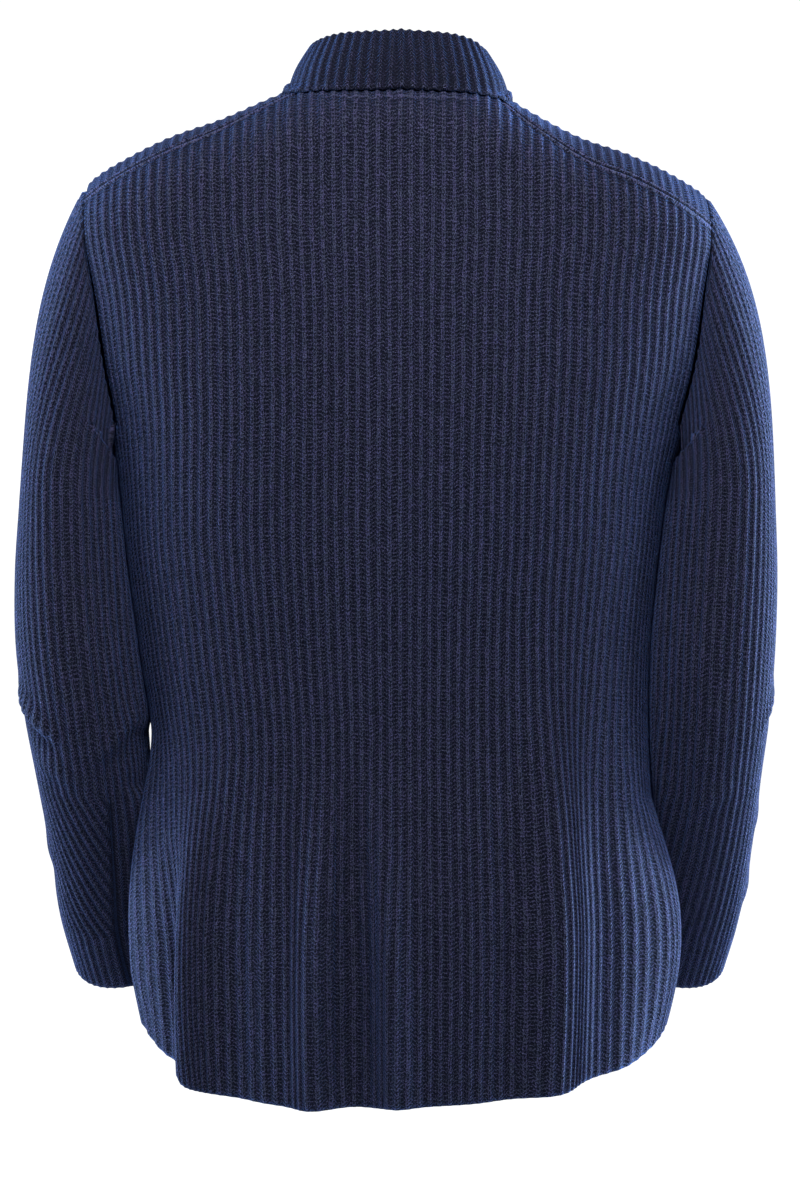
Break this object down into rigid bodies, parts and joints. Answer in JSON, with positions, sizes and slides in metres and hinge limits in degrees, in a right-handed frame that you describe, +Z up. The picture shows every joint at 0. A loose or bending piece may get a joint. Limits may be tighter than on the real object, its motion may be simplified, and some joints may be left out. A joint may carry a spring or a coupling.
{
  "type": "knit blazer",
  "caption": "Worn ribbed knit blazer, hollow, with a folded rib collar, notched lapels, set-in sleeves and a buttoned wrap front.",
  "frame": {"origin": "centre of the base of the neck at shoulder level, where the wearer's neck and shoulders hold the garment up", "axes": "+Z up, -Y towards the front of the garment, +X towards the wearer's left"},
  "size_m": [0.5664, 0.2725, 0.7736],
  "materials": {
    "knit": "navy wool rib knit, soft and slightly fuzzy",
    "button": "satin dark navy"
  },
  "bodies": {
    "root": {"back": "knit", "front_left": "knit", "front_right": "knit", "sleeve_left": "knit", "sleeve_right": "knit", "collar": "knit", "lapel_left": "knit", "lapel_right": "knit", "button_1": "button", "button_2": "button", "button_3": "button"}
  },
  "joints": []
}
